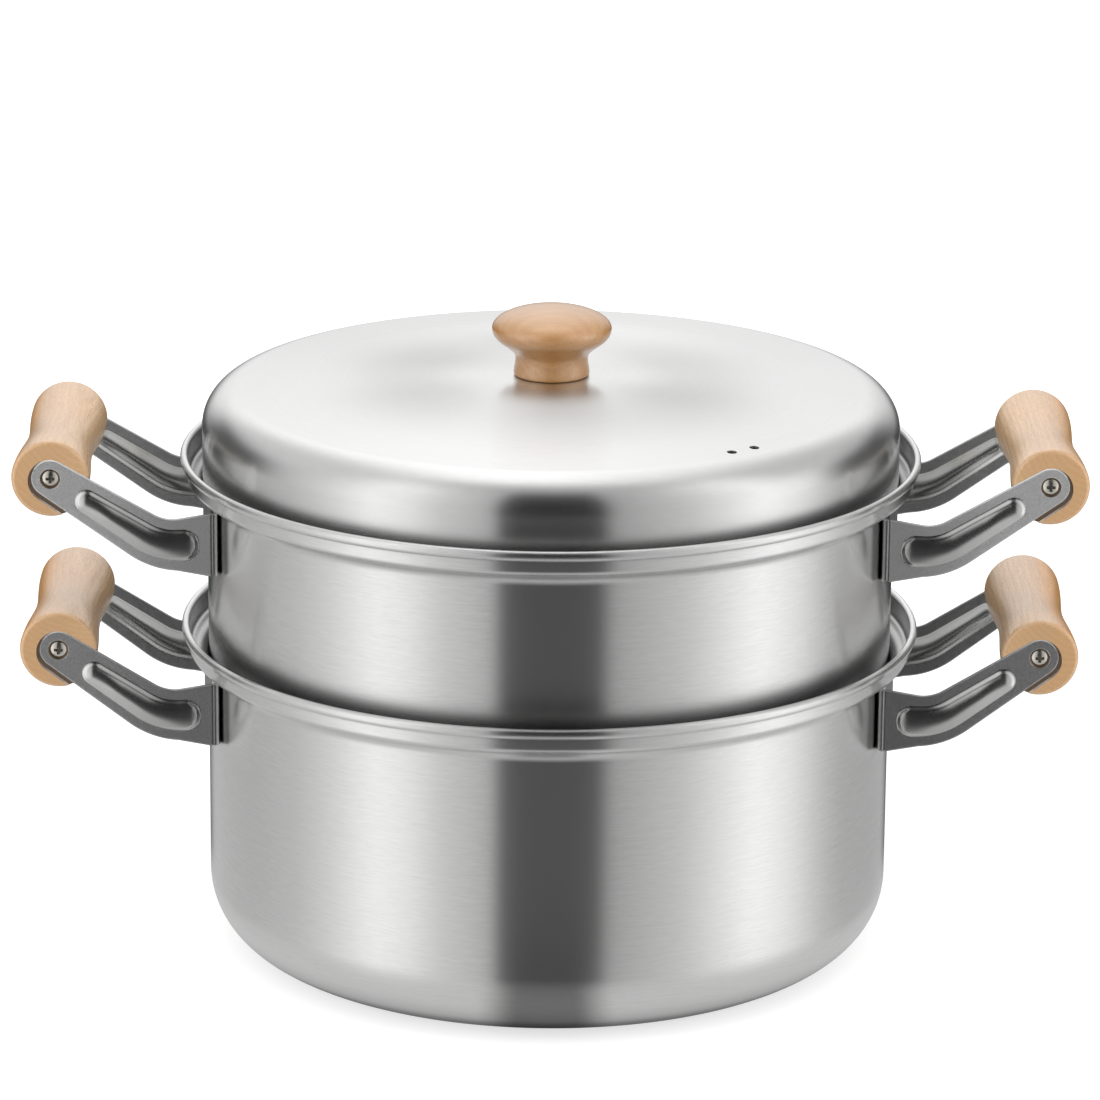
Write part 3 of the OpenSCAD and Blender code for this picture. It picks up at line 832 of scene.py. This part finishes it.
def make_world():
    """Plain soft light. Shiny metal shows a white room with a dark gap behind the camera."""
    world = bpy.data.worlds.new("studio")
    scene.world = world
    world.use_nodes = True
    world.cycles.sampling_method = "NONE"
    net = Net(world.node_tree)
    x, y, z = net.split(net.add("TexCoord").outputs["Generated"])
    degrees = 180 / math.pi
    az = net.times(net.math("ARCTAN2", x, net.times(y, -1.0)), degrees)
    el = net.times(net.math("ARCSINE", z), degrees)
    side = net.absolute(az)

    def band(value, rise, full, fade, gone):
        return net.times(net.step(value, rise, full), net.step(value, fade, gone, 1.0, 0.0))

    # Light levels by azimuth: two soft panels, left and right, with the dark gap between them
    levels = [(-180, .62), (-95, .60), (-78, .82), (-60, 1.20), (-48, 1.06), (-36, .74),
              (-17.6, .53), (-12.6, .045), (17.0, .045), (20.8, .42), (46, .68), (58, .92),
              (74, 1.26), (88, 1.06), (102, .74), (118, .58), (145, .52), (180, .62)]
    peak = 1.3
    turn = net.plus(net.math("DIVIDE", az, 360.0), 0.5)
    level = net.times(net.ramp(turn, [(a / 360 + 0.5, v / peak) for a, v in levels]), peak)

    # The ceiling in front is grey, the gap stays dark up to it, and the table is pale below
    front = net.step(side, 15.0, 19.0, 1.0, 0.0)
    gap = net.times(front, net.step(el, 62.0, 48.0))
    level = net.over(level, net.step(el, 48.0, 66.0), 0.46)
    level = net.over(level, gap, net.step(el, -12.0, 4.0, 0.045, 0.02))
    level = net.over(level, net.times(front, net.step(el, -20.0, -32.0)), 0.11)
    level = net.over(level, net.step(el, -30.0, -52.0), 0.56)

    # Dark corners beside the bright back of the room, which reaches overhead, and its dim foot
    corner = net.times(band(side, 92.0, 116.0, 142.0, 164.0), band(el, -14.0, -4.0, 12.0, 25.0))
    level = net.over(level, corner, 0.07)
    back = net.times(net.step(side, 135.0, 168.0), net.step(el, -2.0, 8.0))
    back_level = net.step(el, 10.0, 24.0, net.step(x, 0.03, 0.3, 0.98, 0.82), 1.18)
    level = net.over(level, back, back_level)
    high = net.times(net.step(y, -0.25, 0.08), net.step(el, 16.0, 34.0))
    high_level = net.step(net.absolute(x), 0.05, 0.6, 1.48, 0.72)
    level = net.over(level, high, net.times(high_level, net.step(x, -0.02, 0.15, 1.0, 0.86)))
    foot = net.times(net.step(side, 158.0, 166.0), net.step(el, 3.0, -6.0))
    level = net.over(level, net.times(foot, net.step(el, -50.0, -40.0)), 0.03)

    path = net.add("LightPath").outputs
    seen = net.math("MAXIMUM", path["Is Camera Ray"], path["Is Transmission Ray"])
    shiny = net.over(1.0, path["Is Glossy Ray"], level)
    background = net.add("Background")
    net.plug(background.inputs["Color"], net.over(shiny, seen, 1.0))
    out = net.add("OutputWorld")
    net.plug(out.inputs["Surface"], background.outputs[0])


def make_floor():
    """Pale table. Shiny metal shows it only round the pot's foot, as painted shade, and far behind the
    pot, as a painted dark patch.
    """
    half_width, front, back, low = 6000, -5000, 7000, -0.2
    corners = [(-half_width, front, low), (half_width, front, low)]
    corners += [(half_width, back, low), (-half_width, back, low)]
    floor = mesh_object("floor", corners, [(0, 1, 2, 3)])
    material = bpy.data.materials.new("floor")
    material.use_nodes = True
    material.cycles.emission_sampling = "NONE"
    net = Net(material.node_tree)
    path = net.add("LightPath").outputs
    place = net.place()
    radius = net.length(place)
    x, y = net.split(place)[:2]

    # What the camera and soft light meet: a pale table, whiter further off
    base = net.add("BsdfDiffuse")
    net.plug(base.inputs["Color"], net.mix(path["Is Camera Ray"], (0.8, 0.8, 0.8), (0.5, 0.5, 0.5)))
    glow = net.add("Emission")
    fade = net.step(radius, 0.3, 1.2, 0.66, 0.95)
    net.plug(glow.inputs["Strength"], net.times(path["Is Camera Ray"], fade))
    lit = net.add("AddShader")
    net.plug(lit.inputs[0], base.outputs[0])
    net.plug(lit.inputs[1], glow.outputs[0])

    # What shiny metal meets: painted shade round the foot, darker in front, and a painted dark patch of
    # table far behind the pot
    round_pot = net.absolute(net.math("ARCTAN2", x, net.times(y, -1.0)))
    ahead = net.step(round_pot, math.radians(5), math.radians(14), 0.3, 1.0)
    near = net.times(net.step(radius, 0.104, 0.133, 0.15, 0.66), ahead)
    # Painted dark patch far behind the pot, seen only in shiny metal
    behind = net.times(net.step(y, 0.36, 0.46), net.step(net.absolute(x), 0.8, 1.2, 1.0, 0.0))
    shade = net.add("Emission")
    net.plug(shade.inputs["Strength"], net.times(near, net.step(radius, 0.2, 0.3, 1.0, 0.04)))
    shiny = net.add("MixShader")
    clear = net.times(net.step(radius, 0.155, 0.19), net.math("SUBTRACT", 1.0, behind))
    net.plug(shiny.inputs["Fac"], clear)
    net.plug(shiny.inputs[1], shade.outputs[0])
    net.plug(shiny.inputs[2], net.add("BsdfTransparent").outputs[0])

    both = net.add("MixShader")
    net.plug(both.inputs["Fac"], path["Is Glossy Ray"])
    net.plug(both.inputs[1], lit.outputs[0])
    net.plug(both.inputs[2], shiny.outputs[0])
    out = net.add("OutputMaterial")
    net.plug(out.inputs["Surface"], both.outputs[0])
    floor.data.materials.append(material)


def softbox(name, place, size, power):
    """A square lamp for matt surfaces, aimed at the pot. Shiny ones and the camera don't show it."""
    aim = (0, 0, 0.1)
    data = bpy.data.lights.new(name, "AREA")
    data.shape, data.size, data.energy = "SQUARE", size, power
    lamp = bpy.data.objects.new(name, data)
    scene.collection.objects.link(lamp)
    lamp.location = place
    lamp.rotation_euler = (Vector(aim) - Vector(place)).to_track_quat("-Z", "Y").to_euler()
    lamp.visible_glossy = False
    lamp.visible_camera = False


# Build

make_camera()
scene.view_settings.view_transform = "Standard"
make_world()
make_floor()
softbox("top_light", (0.1, -0.5, 2.0), size=1.5, power=6)
softbox("left_light", (-2.2, -0.7, 0.9), size=1.2, power=12)
softbox("right_light", (2.3, -0.6, 0.9), size=1.0, power=12)
softbox("front_light", (0, -2.4, 0.5), size=1.0, power=10)

tone = (0.76, 0.76, 0.755)
stainless = brushed_steel("stainless", tone, rough=0.26, rough_middle=0.26, gap_shade=0.62)
lid_steel = brushed_steel("lid_steel", tone, rough=0.25, rough_middle=0.46, contrast=0.5)
fastener_steel = plain_steel("fastener_steel", (0.78, 0.74, 0.66), rough=0.20)
handle_skins = handle_materials()

dress(lathe("pot_body_skin", shell_outline(POT_H)), stainless, "pot", "pot_body")
basket = cut(lathe("basket_body_skin", shell_outline(BASKET_H)), [steam_holes()])
dress(moved(basket, shift=(0, 0, BASKET_Z)), stainless, "basket", "basket_body")
make_lid(lid_steel)
# The knob's beech is a darker, more orange copy of the grips' beech: painted shade
knob_wood = beech("beech_knob", axis=0, pith=(0, 0.022, 0.2), shade_tint=(0.79, 0.68, 0.46), fleck_axis=2)
make_knob(knob_wood)
for tier in ("pot", "basket"):
    for side in ("left", "right"):
        make_bracket(tier, side, handle_skins)
        make_grip(tier, side, handle_skins)
for name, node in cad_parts.items():
    if "sleeve" in name or "screw" in name or name in ("knob_insert", "knob_washer"):
        for part in node.material_slots:
            part.material = fastener_steel
